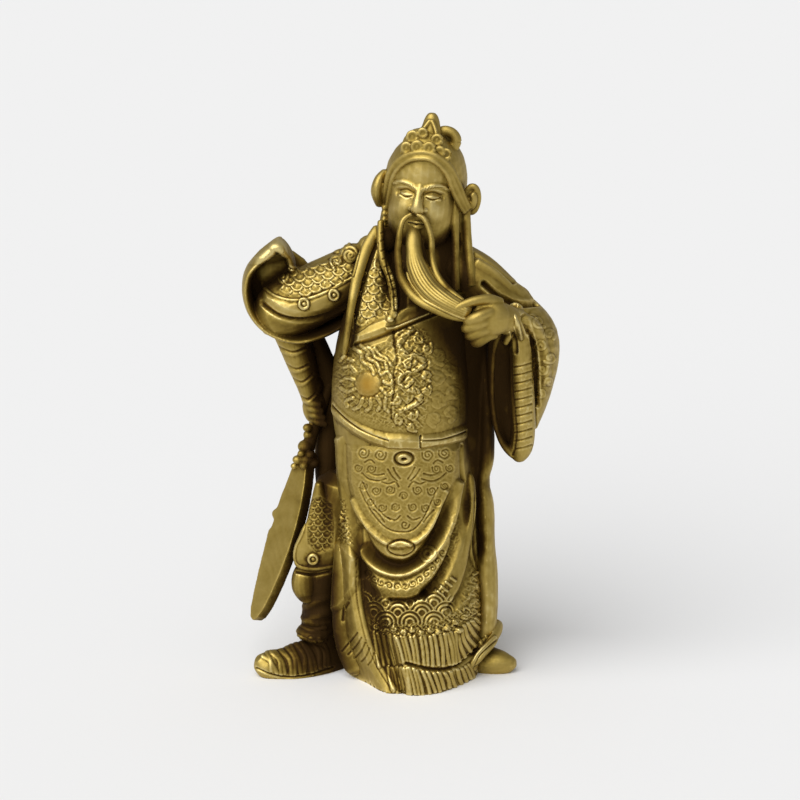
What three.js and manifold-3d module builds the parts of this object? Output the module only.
// A small cast brass figure of a standing bearded general in robe and armour. The left hand strokes the beard, the
// right hand holds a long-handled glaive with its blade down, and the pole runs up behind the back. It is one casting,
// so every form below is joined to the others in one solid. Millimetres, +Z up, the figure faces -Y.
import * as THREE from "three";
import { mergeVertices } from "three/addons/utils/BufferGeometryUtils.js";
import Module from "manifold-3d";

const wasm = await Module();
wasm.setup();

// Driving dimensions, in millimetres
const figureHeight = 100; // ground to the tip of the crown
const poleDiameter = 2.3;
const bladeLength = 30;
const bladeWidth = 6.4;
const bladeThickness = 2.2;
const beltWidth = 2.3;
const beltProud = 0.7;
const collarWidth = 1.9;
const lipThickness = 1.7; // the turned-back sleeve
const tassetThickness = 2.4;
const finialLength = 6.2;

// The free forms are given in hundredths of the height, so that they keep their proportions
const unit = figureHeight / 100;
const at = (x, y, z) => new THREE.Vector3(x, y, z).multiplyScalar(unit);

// Closed solids from rings of points

// A closed skin over rings of points, with a fan of triangles over each end.
function skin(rings) {
  const sides = rings[0].length;
  const positions = rings.flat().flatMap((v) => [v.x, v.y, v.z]);
  const index = [];
  for (let i = 0; i + 1 < rings.length; i++) {
    for (let j = 0; j < sides; j++) {
      const a = i * sides + j;
      const b = i * sides + ((j + 1) % sides);
      index.push(a, b, b + sides, a, b + sides, a + sides);
    }
  }
  const closeEnd = (row, outward) => {
    const middle = rings[row].reduce((sum, v) => sum.add(v), new THREE.Vector3()).divideScalar(sides);
    const hub = positions.length / 3;
    positions.push(middle.x, middle.y, middle.z);
    for (let j = 0; j < sides; j++) {
      const a = row * sides + j;
      const b = row * sides + ((j + 1) % sides);
      index.push(...(outward ? [a, b, hub] : [b, a, hub]));
    }
  };
  closeEnd(0, false);
  closeEnd(rings.length - 1, true);
  const geometry = new THREE.BufferGeometry();
  geometry.setAttribute("position", new THREE.Float32BufferAttribute(positions, 3));
  geometry.setIndex(index);
  return geometry;
}

// A three.js geometry as a solid, turned right side out.
function solid(geometry) {
  const bare = geometry.clone();
  bare.deleteAttribute("normal");
  bare.deleteAttribute("uv");
  const merged = mergeVertices(bare, 1e-4);
  const build = (triangles) =>
    new wasm.Manifold(
      new wasm.Mesh({
        numProp: 3,
        vertProperties: new Float32Array(merged.attributes.position.array),
        triVerts: triangles,
      }),
    );
  const triangles = new Uint32Array(merged.index.array);
  const made = build(triangles);
  return made.volume() < 0 ? build(triangles.slice().reverse()) : made;
}

const join = (solids) => solids.reduce((sum, one) => sum.add(one));

// A smooth table: rows of numbers, read anywhere between the first row and the last.
function smoothRow(rows, share) {
  const place = share * (rows.length - 1);
  const i = Math.min(rows.length - 2, Math.floor(place));
  const t = place - i;
  const row = (k) => rows[Math.max(0, Math.min(rows.length - 1, k))];
  return rows[0].map((_, n) => {
    const [a, b, c, d] = [row(i - 1)[n], row(i)[n], row(i + 1)[n], row(i + 2)[n]];
    const bend = 2 * a - 5 * b + 4 * c - d + (3 * (b - c) + d - a) * t;
    return b + 0.5 * t * (c - a + t * bend);
  });
}

// A standing form. Each station is [height, centre x, centre y, half width, half depth]; relief(x, z, angle) is how far
// the surface stands proud there and lift(z, angle) how far it is raised, with the angle measured from the front.
function column(stations, { sides = 32, rows = 12, relief = () => 0, lift = () => 0 } = {}) {
  const rings = [];
  for (let i = 0; i <= rows; i++) {
    const [z, cx, cy, rx, ry] = smoothRow(stations, i / rows);
    const ring = [];
    for (let j = 0; j < sides; j++) {
      const angle = (j / sides) * 2 * Math.PI - Math.PI;
      const x = cx + rx * Math.sin(angle);
      const proud = relief(x, z, angle);
      ring.push(at(x + proud * Math.sin(angle), cy - (ry + proud) * Math.cos(angle), z + lift(z, angle)));
    }
    rings.push(ring);
  }
  return solid(skin(rings));
}

// A limb, lock of hair or strip. Each knot is [x, y, z, half width, half depth]; the width lies as near as it can to
// the direction "wide".
function strand(knots, { sides = 8, rows = 2 * (knots.length - 1), wide = [1, 0, 0], blunt = 0.5 } = {}) {
  const centre = (share) => at(...smoothRow(knots, share).slice(0, 3));
  const rings = [];
  for (let i = 0; i <= rows; i++) {
    const share = i / rows;
    const [, , , width, depth] = smoothRow(knots, share).map((v) => v * unit);
    const along = centre(Math.min(1, share + 0.01)).sub(centre(Math.max(0, share - 0.01))).normalize();
    const across = new THREE.Vector3(...wide);
    across.addScaledVector(along, -across.dot(along)).normalize();
    const out = new THREE.Vector3().crossVectors(along, across);
    const taper = i === 0 || i === rows ? blunt : 1;
    const ring = [];
    for (let j = 0; j < sides; j++) {
      const angle = (j / sides) * 2 * Math.PI;
      ring.push(
        centre(share)
          .addScaledVector(across, taper * width * Math.cos(angle))
          .addScaledVector(out, taper * depth * Math.sin(angle)),
      );
    }
    rings.push(ring);
  }
  return solid(skin(rings));
}

// An egg-shaped lump with half sizes along its own axes.
function lump([x, y, z], [rx, ry, rz], { lean = 0, sides = 8 } = {}) {
  const ball = new THREE.SphereGeometry(unit, sides, Math.round(sides / 2));
  ball.scale(rx, ry, rz);
  ball.rotateY((lean * Math.PI) / 180);
  const { x: px, y: py, z: pz } = at(x, y, z);
  return solid(ball.translate(px, py, pz));
}

// A bump with a round top, 1 at the middle and 0 at its rim.
const bump = (distance, reach) => (Math.abs(distance) < reach ? Math.cos((distance / reach) * (Math.PI / 2)) ** 2 : 0);

// The robe

// Each row is [height, centre x, centre y, half width, half depth].
const skirtStations = [
  [0, 2.6, -4.2, 11.4, 12.9],
  [6, 2.3, -4.2, 12.0, 12.2],
  [12, 2.0, -4.2, 12.4, 11.4],
  [20, 1.7, -3.9, 12.2, 10.5],
  [29, 1.3, -3.7, 12.0, 10.1],
  [37, 0.8, -3.6, 11.7, 10.4],
  [43, 0.3, -3.5, 11.5, 11.0],
  [48, 0.1, -3.4, 11.5, 11.8],
];

// The front of the skirt at a place across it and up it.
function skirtFront(x, z) {
  const i = Math.max(0, skirtStations.findIndex((row) => row[0] > z) - 1);
  const [low, high] = [skirtStations[i], skirtStations[i + 1]];
  const t = (z - low[0]) / (high[0] - low[0]);
  const [, cx, cy, rx, ry] = low.map((v, n) => v + t * (high[n] - v));
  return cy - ry * Math.sqrt(Math.max(0.02, 1 - ((x - cx) / rx) ** 2));
}

// The swags that hang across the front: the lowest point, then the reach and the rise to each side.
const swags = [
  { x: 1.2, z: 28.3, left: 10.2, riseLeft: 11.5, right: 8.2, riseRight: 10, wide: 1.1 },
  { x: -0.4, z: 22.4, left: 8.6, riseLeft: 7, right: 12.4, riseRight: 15, wide: 1.3 },
  { x: -1.8, z: 13.8, left: 4.6, riseLeft: 1.2, right: 15.4, riseRight: 23.5, wide: 1.2 },
];

function swagFolds() {
  const steps = 8;
  return swags.map((swag) => {
    const knots = Array.from({ length: steps + 1 }, (_, k) => {
      const share = (k / steps) * 2 - 1;
      const [reach, rise] = share < 0 ? [swag.left, swag.riseLeft] : [swag.right, swag.riseRight];
      const x = swag.x + share * reach;
      const z = swag.z + rise * Math.abs(share) ** 2.1;
      const thin = 1 - 0.5 * share ** 4;
      return [x, skirtFront(x, z) + 0.1, z, swag.wide * thin, 1.1 * thin];
    });
    return strand(knots, { sides: 6, rows: 10, wide: [0, 0, 1] });
  });
}

// The hem stands on a pointed plan at the front, and lifts a little over both boots.
const nearGround = (z) => Math.max(0, 1 - z / 9);
const hemPoint = (angle) => -1.6 * bump(angle + 0.85, 0.7) - 0.7 * bump(angle - 0.75, 0.6);
const hemLift = (angle) => 0.4 * bump(angle + 1.15, 0.6) + 1.2 * bump(angle - 1.3, 0.7);

function robe() {
  const skirt = column(skirtStations, {
    sides: 30,
    rows: 9,
    relief: (x, z, angle) => nearGround(z) * hemPoint(angle),
    lift: (z, angle) => nearGround(z) * hemLift(angle),
  });
  const belly = column(
    [
      [44, 0.2, -3.4, 11.5, 11.3],
      [49, 0.0, -3.6, 11.9, 12.4],
      [54, 0.0, -3.7, 11.8, 12.6],
      [59, 0.2, -3.4, 11.3, 11.4],
      [64, 1.0, -2.8, 10.6, 9.2],
      [69, 2.4, -2.0, 9.6, 7.4],
      [74, 3.6, -1.2, 7.6, 5.8],
      [79, 4.2, -0.8, 4.6, 4.4],
    ],
    { sides: 22, rows: 7 },
  );
  const backFolds = (x, z, angle) => {
    const depth = 0.8 * Math.min(1, Math.max(0, (70 - z) / 30));
    return depth * Math.max(0, -Math.cos(angle) + 0.35) * Math.cos(angle * 7 + z / 40);
  };
  const mantle = column(
    [
      [0, 3.6, 2.6, 13.6, 9.6],
      [12, 3.4, 2.5, 13.7, 9.2],
      [25, 3.2, 2.3, 13.5, 9.0],
      [38, 3.0, 2.1, 13.2, 8.6],
      [50, 3.2, 2.0, 13.3, 8.2],
      [61, 3.8, 1.6, 12.9, 7.8],
      [69, 3.8, 0.9, 11.4, 6.8],
      [73.5, 4.0, 0.4, 10.0, 5.8],
      [77, 4.2, 0.2, 7.0, 4.8],
      [80, 4.3, 0.0, 4.6, 4.0],
    ],
    { sides: 28, rows: 8, relief: backFolds },
  );
  const sideFolds = [0, 1, 2].map((k) =>
    strand(
      [
        [12.6 + 1.4 * k, -5.0 + 2.6 * k, 62 - 4 * k, 0.8, 1.0],
        [13.2 + 1.3 * k, -5.6 + 2.8 * k, 48, 1.0, 1.2],
        [13.4 + 1.2 * k, -6.0 + 2.8 * k, 32, 1.1, 1.4],
        [13.2 + 1.5 * k, -6.6 + 3.0 * k, 13, 1.2, 1.5],
      ],
      { sides: 5, rows: 4 },
    ),
  );
  const hipFolds = [0, 1].map((k) =>
    strand(
      [
        [-10.4 + 1.9 * k, -5.6 - 2.4 * k, 46.5, 0.5, 0.8],
        [-10.8 + 1.9 * k, -6.4 - 2.6 * k, 36, 0.8, 1.0],
        [-10.4 + 1.9 * k, -7.2 - 2.2 * k, 25 - 2 * k, 0.9, 1.0],
      ],
      { sides: 6, rows: 4 },
    ),
  );
  const turnedEdge = strand(
    [
      [-9.8, -7.6, 29, 0.5, 0.8],
      [-9.0, -9.0, 21, 1.6, 0.9],
      [-9.6, -8.2, 13, 1.5, 0.9],
      [-10.0, -7.0, 7, 1.3, 0.9],
      [-8.6, -6.8, 2.6, 1.4, 0.9],
    ],
    { rows: 8, sides: 6 },
  );
  return [skirt, belly, mantle, turnedEdge, ...swagFolds(), ...sideFolds, ...hipFolds];
}

function belt() {
  const band = column(
    [
      [-beltWidth / 2, 0.1, -3.4, 11.5, 11.5],
      [-beltWidth / 2, 0.1, -3.4, 11.6 + beltProud, 11.7 + beltProud],
      [0, 0.1, -3.4, 11.7 + beltProud, 11.9 + beltProud],
      [beltWidth / 2, 0.1, -3.4, 11.6 + beltProud, 11.9 + beltProud],
      [beltWidth / 2, 0.1, -3.4, 11.5, 11.7],
    ],
    { sides: 22, rows: 4 },
  );
  return [band.rotate([3, 8, 0]).translate([0, 0, at(0, 0, 46.4).z])];
}

function chest() {
  const collar = (points) => strand(points.map(([x, y, z]) => [x, y, z, collarWidth / 2, 0.8]));
  return [
    collar([
      [-1.6, -4.6, 80.4],
      [-4.0, -6.2, 76.6],
      [-6.2, -8.0, 70.6],
      [-7.9, -10.0, 64.4],
      [-9.0, -10.4, 60.4],
    ]),
    collar([
      [-1.2, -5.0, 80.6],
      [-1.9, -7.2, 76.4],
      [-1.4, -9.2, 71.2],
      [-0.8, -11.6, 65.8],
    ]),
    strand([
      [-9.4, -8.8, 60.6, 0.8, 0.8],
      [-5.3, -12.2, 63.0, 1.0, 0.8],
      [-1.0, -12.9, 64.4, 1.0, 0.8],
      [4.4, -12.2, 65.8, 1.0, 0.8],
      [9.4, -9.0, 66.6, 0.8, 0.8],
    ]),
  ];
}

// The head, built about its own middle and then turned and set on the neck

const headPlace = [4.2, -0.6, 86.2];
const headTurn = -9; // degrees, towards the glaive
const headTilt = 5; // degrees, the crown away from the glaive

function head() {
  const face = column(
    [
      [-8.8, 0, -3.6, 1.4, 1.4],
      [-7.9, 0, -3.2, 3.4, 2.9],
      [-5.4, 0, -2.3, 4.9, 4.3],
      [-2.2, 0, -1.3, 5.7, 5.3],
      [1.4, 0, -0.7, 6.0, 5.7],
      [4.6, 0, -0.4, 5.7, 5.5],
      [7.4, 0, 0, 4.4, 4.4],
    ],
    { sides: 18, rows: 8 },
  );
  const nose = strand(
    [
      [0, -5.6, 2.4, 0.6, 0.6],
      [0, -6.9, 0.2, 0.7, 0.9],
      [0, -7.5, -2.0, 1.15, 0.95],
      [0, -6.2, -2.8, 0.8, 0.5],
    ],
    { sides: 6, rows: 4 },
  );
  const brow = (side) =>
    strand(
      [
        [side * 0.9, -6.2, 1.5, 0.4, 0.5],
        [side * 2.8, -5.9, 2.1, 0.5, 0.5],
        [side * 4.6, -4.4, 1.9, 0.4, 0.4],
      ],
      { sides: 4, rows: 3, wide: [0, 0, 1] },
    );
  const neck = strand(
    [
      [0, 0.8, -3, 3.9, 3.9],
      [0, 0.8, -10, 4.2, 4.0],
    ],
    { rows: 1 },
  );
  const cap = column(
    [
      [-3.6, 0, 2.4, 6.4, 5.2],
      [-0.6, 0, 1.6, 7.3, 6.5],
      [2.6, 0, 0.8, 7.3, 7.0],
      [5.4, 0, 0.2, 6.6, 6.6],
      [7.6, 0, 0.6, 4.9, 5.0],
      [8.9, 0, 1.0, 2.8, 3.0],
      [9.6, 0, 1.2, 0.9, 1.0],
    ],
    { sides: 20, rows: 8 },
  );
  const faceOpening = strand(
    [
      [0, -9, -9.5, 5.7, 4.6],
      [0, -9, -2, 6.0, 4.6],
      [0, -9, 3.4, 5.2, 4.6],
      [0, -9, 5.6, 2.9, 4.2],
    ],
    { sides: 12, rows: 4 },
  );
  const brim = strand(
    [
      [-8.0, -0.6, -3.4, 0.7, 0.9],
      [-7.1, -3.2, -0.8, 0.8, 0.9],
      [-6.0, -5.2, 3.0, 0.8, 0.9],
      [-3.2, -6.6, 5.5, 0.8, 0.8],
      [0, -7.1, 6.2, 0.8, 0.8],
      [3.2, -6.6, 5.5, 0.8, 0.8],
      [6.0, -5.2, 3.0, 0.8, 0.9],
      [7.1, -3.2, -0.8, 0.8, 0.9],
      [8.0, -0.6, -3.4, 0.7, 0.9],
    ],
    { rows: 12, sides: 6, wide: [0, -1, 0.2] },
  );
  const flap = (side) =>
    strand(
      [
        [side * 7.2 + 0.5, -0.4, 3.3, 0.5, 0.7],
        [side * 7.9 + 0.5, -0.8, 1.6, 1.0, 1.6],
        [side * 8.3 + 0.5, -0.9, -1.0, 1.2, 1.9],
        [side * 8.1 + 0.5, -0.6, -3.2, 0.9, 1.2],
      ],
      { rows: 5, sides: 6 },
    );
  const cloudRow = (count, spread, forward, height, size) =>
    Array.from({ length: count }, (_, k) => {
      const angle = ((k / (count - 1)) * 2 - 1) * spread;
      return lump(
        [forward * 0.98 * Math.sin(angle), 0.4 - forward * Math.cos(angle), height - 0.9 * Math.sin(angle) ** 2],
        [size, size * 0.8, size],
      );
    });
  const finial = strand(
    [
      [-0.4, -2.6, 7.8, 2.3, 1.7],
      [-0.2, -2.2, 7.8 + finialLength * 0.4, 2.0, 1.5],
      [0.1, -1.9, 7.8 + finialLength * 0.75, 1.5, 1.2],
      [0.2, -1.8, 7.8 + finialLength, 0.9, 0.8],
    ],
    { rows: 5 },
  );
  const bun = new THREE.TorusGeometry(1.55 * unit, 1.0 * unit, 6, 10);
  bun.rotateX(Math.PI / 2);
  const bunPlace = at(3.5, 0.2, 8.8);
  bun.translate(bunPlace.x, bunPlace.y, bunPlace.z);
  const backHair = strand(
    [
      [0, 4.4, 2, 5.2, 2.6],
      [0, 5.2, -5, 5.4, 2.4],
      [0, 5.6, -13, 5.0, 2.2],
      [0, 6.6, -19, 3.0, 1.6],
    ],
    { sides: 10, rows: 4 },
  );
  const ribbon = (x, foot, y) =>
    strand(
      [
        [x, y, -1.5, 0.7, 0.9],
        [x + 0.1, y - 0.8, -8, 0.9, 1.0],
        [foot, y - 2.2, -14, 1.0, 0.9],
        [foot, y - 3.4, -18.5, 0.8, 0.7],
      ],
      { sides: 5, rows: 3 },
    );
  const forms = [
    cap.subtract(faceOpening),
    face,
    nose,
    brow(-1),
    brow(1),
    neck,
    brim,
    flap(-1),
    flap(1),
    ...cloudRow(3, 0.5, 6.4, 7.5, 1.6),
    ...cloudRow(2, 0.45, 4.8, 9.4, 1.7),
    finial,
    solid(bun),
    backHair,
    ribbon(6.2, 6.6, -2.4),
    ribbon(8.0, 9.0, -1.4),
    ribbon(-6.2, -5.4, -1.2),
  ];
  const place = at(...headPlace);
  return [join(forms).rotate([0, headTilt, headTurn]).translate([place.x, place.y, place.z])];
}

function beard() {
  const bundle = strand(
    [
      [2.8, -6.6, 81.0, 1.3, 1.2],
      [2.2, -8.6, 78.2, 1.7, 1.5],
      [2.0, -10.2, 74.6, 2.2, 1.8],
      [3.8, -12.2, 71.0, 2.5, 2.0],
      [7.4, -13.6, 68.7, 2.2, 1.9],
      [11.6, -14.2, 67.4, 1.6, 1.6],
    ],
    { sides: 9, rows: 9 },
  );
  const leftLock = strand(
    [
      [2.2, -8.0, 83.2, 0.5, 0.5],
      [0.4, -8.6, 81.0, 0.7, 0.7],
      [-0.5, -9.6, 77.0, 0.8, 0.8],
      [-0.2, -11.0, 73.0, 0.9, 0.9],
      [2.0, -12.8, 69.4, 1.0, 0.9],
      [6.6, -14.4, 66.9, 0.9, 0.8],
      [10.6, -14.9, 66.0, 0.6, 0.6],
    ],
    { sides: 5, rows: 9 },
  );
  const rightLock = strand(
    [
      [3.6, -8.0, 83.2, 0.5, 0.5],
      [5.3, -8.2, 81.0, 0.7, 0.7],
      [6.0, -9.2, 77.0, 0.8, 0.8],
      [6.8, -11.0, 72.6, 0.9, 0.9],
      [9.8, -13.2, 69.6, 0.8, 0.8],
    ],
    { sides: 5, rows: 7 },
  );
  return [bundle, leftLock, rightLock];
}

// The arm that strokes the beard, in its wide hanging sleeve

function beardArm() {
  const shoulder = strand(
    [
      [8.5, 0.2, 73.6, 4.2, 5.6],
      [13.2, -0.2, 70.6, 4.6, 6.2],
      [18.6, -1.2, 65.2, 4.7, 6.4],
      [23.2, -2.0, 60.6, 5.0, 6.4],
      [22.3, -1.0, 52.0, 4.1, 5.6],
      [20.8, -1.0, 45.0, 3.2, 4.4],
    ],
    { sides: 10, rows: 7 },
  );
  const hanging = strand(
    [
      [18.6, -8.6, 67.0, 2.8, 3.0],
      [19.9, -7.6, 61.0, 3.7, 4.0],
      [20.2, -6.4, 53.0, 4.1, 4.4],
      [20.3, -5.4, 46.0, 4.2, 4.0],
      [20.4, -4.8, 41.6, 3.5, 3.2],
      [20.4, -4.8, 39.2, 1.8, 2.0],
    ],
    { sides: 10, rows: 8 },
  );
  const mouth = strand(
    [
      [16.4, -12.6, 65.0, 1.0, 2.6],
      [17.2, -11.4, 56.0, 1.4, 3.6],
      [18.1, -9.8, 47.0, 1.5, 3.4],
      [18.7, -8.6, 41.4, 0.9, 2.4],
    ],
    { sides: 8, rows: 5 },
  );
  const cuffBand = strand(
    [
      [18.8, -12.0, 67.6, 1.2, 0.8],
      [20.4, -11.6, 61.6, 1.8, 0.9],
      [21.1, -10.9, 54.0, 2.0, 0.9],
      [21.7, -9.6, 46.4, 2.0, 0.9],
      [21.7, -8.0, 41.6, 1.8, 0.9],
      [20.2, -7.0, 39.2, 1.2, 0.8],
    ],
    { sides: 6, rows: 8 },
  );
  const innerRim = strand(
    [
      [16.4, -10.6, 62.0, 0.5, 0.7],
      [16.5, -9.6, 54.0, 0.5, 0.7],
      [16.7, -8.2, 46.0, 0.5, 0.7],
      [18.0, -7.0, 40.8, 0.6, 0.7],
      [20.2, -6.6, 38.9, 0.6, 0.7],
    ],
    { sides: 5, rows: 6 },
  );
  const forearm = strand(
    [
      [21.4, -6.0, 62.0, 3.0, 3.0],
      [18.6, -11.6, 65.6, 2.2, 2.4],
      [15.4, -14.0, 66.4, 2.0, 2.4],
    ],
    { sides: 10, rows: 5, wide: [0, 0, 1] },
  );
  return [join([shoulder, hanging]).subtract(mouth), cuffBand, innerRim, forearm, ...fist()];
}

function fist() {
  const palm = lump([14.8, -13.8, 66.4], [2.7, 2.2, 2.9], { lean: 14, sides: 12 });
  const thumb = strand(
    [
      [17.0, -13.2, 68.6, 0.9, 0.9],
      [14.4, -14.4, 69.5, 0.9, 0.8],
      [11.2, -15.2, 68.8, 0.7, 0.7],
    ],
    { sides: 6, rows: 3, wide: [0, 0, 1] },
  );
  const fingers = [0, 1, 2, 3].map((k) =>
    strand(
      [
        [16.2 - 0.2 * k, -14.6 + 0.3 * k, 67.4 - 1.4 * k, 0.8, 0.8],
        [13.4 - 0.2 * k, -16.2 + 0.3 * k, 67.0 - 1.4 * k, 0.85, 0.85],
        [10.6 + 0.4 * k, -15.6 + 0.2 * k, 66.6 - 1.3 * k, 0.75, 0.75],
      ],
      { sides: 6, rows: 3, wide: [0, 0, 1] },
    ),
  );
  return [palm, thumb, ...fingers];
}

// The glaive. The grip, the ferrule and the blade all lie on one line

const grip = at(-14.2, 1.6, 46.4);
const poleTop = at(-4.6, 8.6, 70.5);
const ferrulePlace = at(-16.5, -0.4, 38.8);

function glaive() {
  const [pole, ferrule] = [poleTop, ferrulePlace].map((v) => v.clone().divideScalar(unit));
  const radius = poleDiameter / 2 / unit;
  const shaft = strand(
    [
      [...pole.toArray(), radius, radius],
      [...grip.clone().divideScalar(unit).toArray(), radius, radius],
      [...ferrule.toArray(), radius, radius],
    ],
    { sides: 8, rows: 6, blunt: 1 },
  );
  const butt = lump(pole.toArray(), [radius * 1.5, radius * 1.5, radius * 1.5]);
  const knobs = [
    [-0.2, 0, 1.6, 1.5],
    [0.1, -0.2, -0.4, 1.9],
    [-1.5, -0.6, -0.8, 1.1],
    [1.2, -0.4, -1.4, 1.1],
    [0.5, 0.6, 3.6, 1.2],
  ].map(([x, y, z, r]) => lump([ferrule.x + x, ferrule.y + y, ferrule.z + z], [r, r, r * 0.8]));

  // The blade's outline: across it (the back is negative) and down it, as shares of its width and length
  const outline = new THREE.Shape();
  outline.moveTo(-0.2, -0.06);
  outline.bezierCurveTo(-0.3, 0.1, -0.42, 0.24, -0.44, 0.3);
  outline.lineTo(-0.62, 0.34);
  outline.lineTo(-0.46, 0.39);
  outline.bezierCurveTo(-0.52, 0.46, -0.5, 0.5, -0.56, 0.53);
  outline.bezierCurveTo(-0.54, 0.7, -0.5, 0.86, -0.36, 1.0);
  outline.bezierCurveTo(-0.1, 1.0, 0.06, 0.94, 0.18, 0.86);
  outline.bezierCurveTo(0.42, 0.66, 0.5, 0.5, 0.5, 0.36);
  outline.bezierCurveTo(0.48, 0.2, 0.34, 0.06, 0.24, -0.06);
  outline.closePath();
  const bevel = bladeThickness * 0.3;
  const plate = new THREE.ExtrudeGeometry(outline, {
    depth: bladeThickness - 2 * bevel,
    curveSegments: 4,
    bevelThickness: bevel,
    bevelSize: 0.05,
    bevelOffset: -0.05,
    bevelSegments: 1,
  });
  plate.translate(0, 0, -(bladeThickness - 2 * bevel) / 2);
  plate.scale(bladeWidth, bladeLength, 1);
  const down = at(-7.6, -4.2, -28.2).normalize();
  const across = new THREE.Vector3(0.66, -0.75, 0);
  across.addScaledVector(down, -across.dot(down)).normalize();
  const face = new THREE.Vector3().crossVectors(across, down);
  plate.applyMatrix4(new THREE.Matrix4().makeBasis(across, down, face));
  const root = ferrulePlace.clone().addScaledVector(down, bladeWidth * 0.2);
  plate.translate(root.x, root.y, root.z);
  return [shaft, butt, ...knobs, solid(plate)];
}

// The arm that holds the glaive, with its armoured sleeve and the robe sleeve turned back from it

function glaiveArm() {
  const armour = strand(
    [
      [-2.0, 0, 73.4, 4.6, 5.6],
      [-8.0, -0.4, 71.4, 5.0, 6.0],
      [-14.0, -1.0, 68.6, 5.4, 6.2],
      [-19.4, -1.4, 65.8, 5.4, 5.8],
      [-23.4, -1.4, 63.6, 4.0, 4.4],
    ],
    { sides: 12, rows: 6, wide: [0, 0, 1] },
  );
  const lip = strand(
    [
      [-18.6, -2.2, 73.6, 2.2, lipThickness * 0.45],
      [-20.0, -1.2, 76.8, 3.2, lipThickness / 2],
      [-23.2, -0.6, 76.6, 3.8, lipThickness / 2],
      [-26.2, -0.4, 73.8, 4.2, lipThickness / 2],
      [-27.1, -0.4, 69.4, 4.6, lipThickness / 2],
      [-25.4, -0.4, 65.2, 5.0, lipThickness / 2],
      [-22.0, -0.6, 61.8, 5.4, lipThickness / 2],
      [-17.2, -0.6, 60.2, 5.6, lipThickness / 2],
      [-12.6, -0.4, 61.4, 5.2, lipThickness / 2],
      [-9.0, 0, 63.4, 4.4, lipThickness / 2],
    ],
    { sides: 8, rows: 14, wide: [0, 1, 0] },
  );
  const sleeveBack = strand(
    [
      [-26.2, 2.0, 69.6, 3.6, 2.0],
      [-22.0, 2.2, 69.2, 7.0, 2.4],
      [-17.0, 2.6, 66.0, 5.6, 2.8],
      [-11.0, 2.4, 67.2, 5.0, 3.2],
    ],
    { sides: 10, rows: 4, wide: [0, 0, 1] },
  );
  const shoulderGuard = [0, 1, 2].map((k) => lump([-8.0 + 2.7 * k, -3.0, 75.4 + 1.4 * k], [2.3, 2.2, 2.3]));
  const forearm = strand(
    [
      [-19.2, 0.2, 61.4, 3.1, 3.2],
      [-17.4, 0.6, 56.4, 2.7, 2.9],
      [-15.9, 1.2, 51.2, 2.1, 2.4],
      [-15.2, 1.8, 47.2, 1.7, 1.9],
    ],
    { sides: 10, rows: 5 },
  );
  const wraps = [0, 1, 2].map((k) =>
    lump([-17.8 + 1.2 * k, 0.7 + 0.4 * k, 57.2 - 3.4 * k], [2.9 - 0.35 * k, 3.0 - 0.3 * k, 1.1], { lean: 18 }),
  );
  const hangingCloth = strand(
    [
      [-15.6, 3.0, 61.0, 1.4, 1.6],
      [-13.9, 3.4, 56.0, 1.9, 1.8],
      [-12.6, 3.6, 51.0, 2.6, 1.8],
      [-12.6, 3.4, 45.0, 2.4, 1.8],
      [-13.0, 1.6, 37.0, 2.2, 2.0],
      [-13.0, 0.4, 31.0, 1.8, 2.0],
    ],
    { rows: 5, sides: 6 },
  );
  const [x, y, z] = grip.clone().divideScalar(unit).toArray();
  const reach = poleDiameter / 2 / unit + 0.6;
  const knuckles = [0, 1, 2, 3].map((k) =>
    lump([x - 1.7 + 0.35 * k, y - reach, z + 2.0 - 1.15 * k], [1.3, 0.8, 0.75], { sides: 6 }),
  );
  return [armour, lip, sleeveBack, ...shoulderGuard, forearm, ...wraps, hangingCloth, lump([x - 0.9, y, z + 0.8], [2.2, 2.2, 3.2]), ...knuckles];
}

// The striding leg with its thigh guard, and both boots

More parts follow.
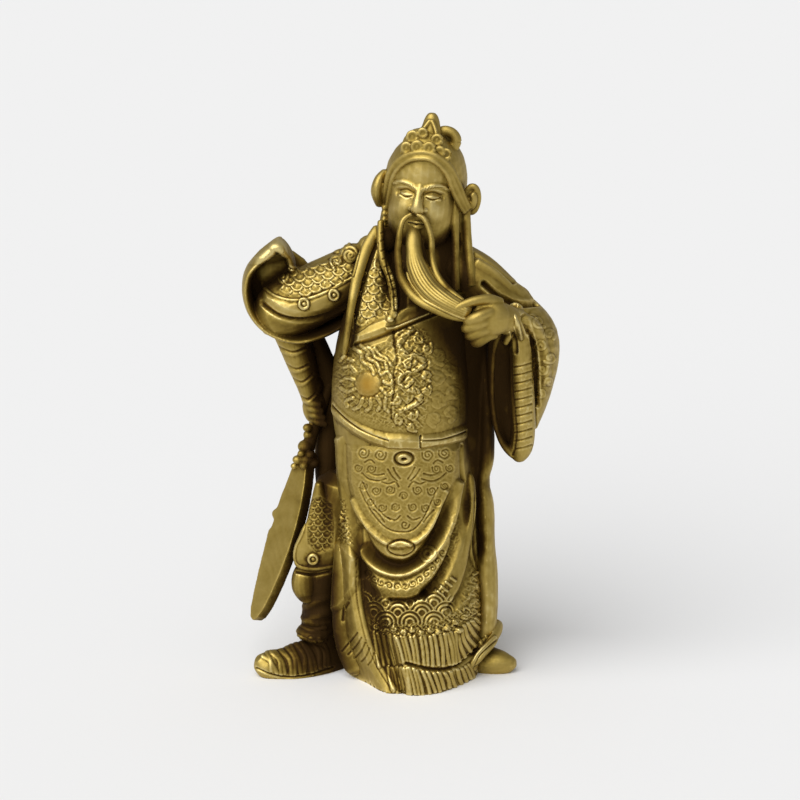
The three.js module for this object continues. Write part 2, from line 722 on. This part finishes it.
function legs() {
  const shin = strand(
    [
      [-10.5, -1.5, 34, 4.2, 5.6],
      [-12.8, -2.4, 24, 4.0, 5.0],
      [-14.2, -2.4, 14, 3.2, 3.8],
      [-14.4, -1.6, 7, 3.4, 3.8],
      [-13.6, -0.6, 0.4, 3.6, 4.2],
    ],
    { sides: 10, rows: 6 },
  );
  const knee = lump([-16.9, -5.0, 16.8], [2.3, 2.0, 3.6], { lean: -8, sides: 10 });
  const guardOutline = new THREE.Shape();
  guardOutline.moveTo(-14.6, 35);
  guardOutline.bezierCurveTo(-15.8, 32, -15.6, 28.4, -17.0, 26);
  guardOutline.bezierCurveTo(-18.8, 23.6, -19.6, 21.4, -18.0, 19.6);
  guardOutline.bezierCurveTo(-15.6, 18.0, -12.6, 18.6, -10.4, 20.4);
  guardOutline.lineTo(-10.4, 31);
  guardOutline.closePath();
  const guard = new THREE.ExtrudeGeometry(guardOutline, {
    depth: tassetThickness / 2,
    curveSegments: 5,
    bevelThickness: tassetThickness / 4,
    bevelSize: 0.5,
    bevelSegments: 1,
  });
  guard.scale(unit, unit, 1).rotateX(Math.PI / 2);
  guard.rotateX(-0.06).translate(0, -4.6 * unit, 0);
  const boot = strand(
    [
      [-10.5, 0.3, 1.2, 3.4, 3.0],
      [-14.6, -2.9, 1.6, 4.2, 4.2],
      [-18.6, -5.3, 1.2, 4.0, 4.4],
      [-21.6, -6.4, 1.4, 3.2, 3.6],
      [-24.0, -7.4, 2.4, 2.4, 2.6],
      [-25.0, -7.8, 2.9, 1.2, 1.6],
    ],
    { sides: 10, rows: 8, wide: [0.4, -0.9, 0] },
  );
  const ankleRolls = [0, 1].map((k) => lump([-14.6 - 0.7 * k, -2.4 - 0.6 * k, 9.2 - 2.4 * k], [3.3, 3.6, 1.4]));
  const shoe = strand(
    [
      [11.4, -1.0, 2.6, 3.2, 2.8],
      [15.2, -4.0, 2.2, 3.0, 2.8],
      [18.4, -5.2, 1.8, 2.2, 2.2],
      [20.4, -5.8, 1.7, 1.2, 1.2],
    ],
    { sides: 8, rows: 4, wide: [0.5, 0.8, 0] },
  );
  const hemOverShoe = strand(
    [
      [6.6, -13.6, 0.6, 1.0, 1.2],
      [10.6, -11.2, 2.2, 1.0, 1.4],
      [14.6, -7.4, 4.6, 1.0, 1.4],
      [17.2, -3.4, 6.8, 1.0, 1.3],
      [17.6, 0.4, 7.4, 0.8, 1.0],
    ],
    { rows: 6, sides: 6 },
  );
  return [shin, knee, solid(guard), boot, ...ankleRolls, shoe, hemOverShoe];
}

// The casting: everything joined, then cut flat where it stands

const casting = join([...robe(), ...belt(), ...chest(), ...head(), ...beard(), ...beardArm(), ...glaive(),
  ...glaiveArm(), ...legs()]);
const groundSide = 4 * figureHeight;
const ground = new THREE.BoxGeometry(groundSide, groundSide, groundSide).translate(0, 0, -groundSide / 2);
const cut = casting.subtract(solid(ground)).simplify(0.2 * unit);
// Where several forms meet, a speck of a hollow can be left inside, so only the outer skin is kept
const standing = cut.decompose().sort((a, b) => b.volume() - a.volume())[0];

function toGeometry(manifold) {
  const mesh = manifold.getMesh();
  const geometry = new THREE.BufferGeometry();
  geometry.setAttribute("position", new THREE.BufferAttribute(new Float32Array(mesh.vertProperties), 3));
  geometry.setIndex(new THREE.BufferAttribute(new Uint32Array(mesh.triVerts), 1));
  return geometry;
}

// The origin is the middle of the figure's footprint box, on the ground
const figureGeometry = toGeometry(standing);
figureGeometry.computeBoundingBox();
const { min, max } = figureGeometry.boundingBox;
figureGeometry.translate(-(min.x + max.x) / 2, -(min.y + max.y) / 2, -min.z);

const brass = new THREE.MeshStandardMaterial({ color: 0xa8924a, roughness: 0.36, metalness: 1 });
const figure = new THREE.Mesh(figureGeometry, brass);
figure.name = "general_figure";

const statue = new THREE.Group();
statue.add(figure);
export default statue;
